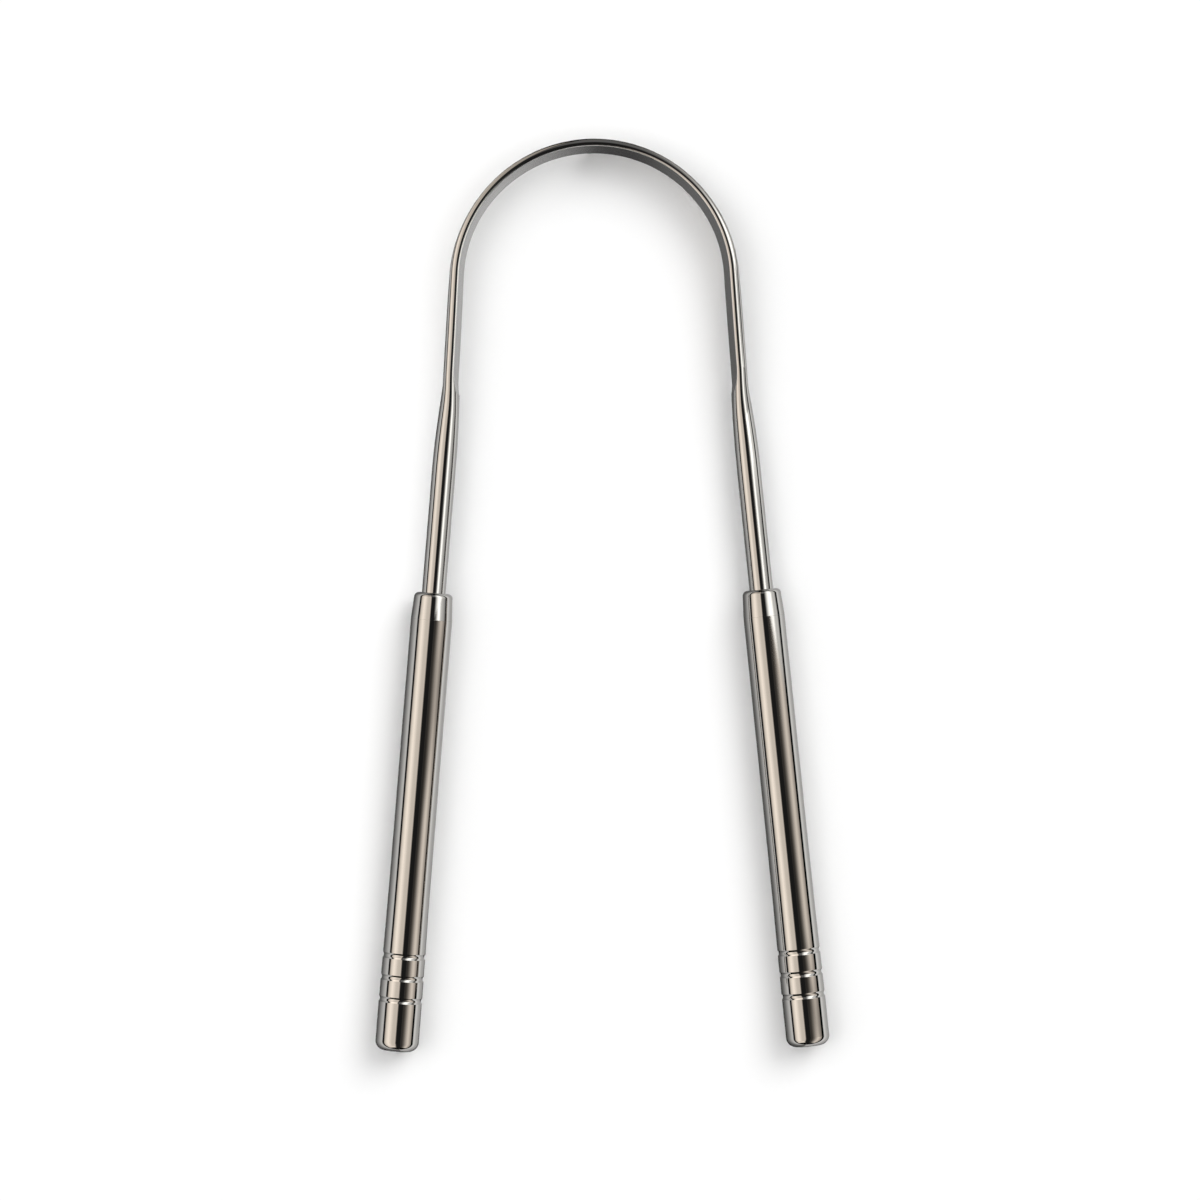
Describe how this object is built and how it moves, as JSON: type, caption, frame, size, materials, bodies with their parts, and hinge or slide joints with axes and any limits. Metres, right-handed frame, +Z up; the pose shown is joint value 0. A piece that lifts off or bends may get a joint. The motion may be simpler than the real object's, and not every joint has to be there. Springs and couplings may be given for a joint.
{
  "type": "tongue scraper",
  "caption": "U-shaped polished steel tongue scraper: a thin flat strip bent to a half round, on springy round arms that end in slim grooved handles.",
  "frame": {"origin": "under the middle of the tool's outline, on the surface that it lies on", "axes": "+Y from the handles to the crown, +X to the right arm, +Z up through the strip's width"},
  "size_m": [0.0748, 0.1498, 0.0077],
  "materials": {
    "strip_steel": "polished, with fine lengthwise brushing on the strip's faces",
    "ferrule_steel": "mirror polished",
    "handle_steel": "mirror polished"
  },
  "bodies": {
    "blade": {"scraper_blade": "strip_steel"},
    "left_arm": {"left_arm": "strip_steel", "left_ferrule": "ferrule_steel", "left_handle_tube": "handle_steel", "left_end_cap": "handle_steel"},
    "right_arm": {"right_arm": "strip_steel", "right_ferrule": "ferrule_steel", "right_handle_tube": "handle_steel", "right_end_cap": "handle_steel"}
  },
  "joints": [
    {"name": "left_arm_flex", "type": "hinge", "parent": "blade", "child": "left_arm", "pos_m": [-0.01853, 0.06444, 0.00384], "axis": [0, 0, 1], "range_deg": [-7, 7], "stiffness_Nm_per_rad": 6.3},
    {"name": "right_arm_flex", "type": "hinge", "parent": "blade", "child": "right_arm", "pos_m": [0.01853, 0.06444, 0.00384], "axis": [0, 0, -1], "range_deg": [-7, 7], "stiffness_Nm_per_rad": 6.3}
  ]
}
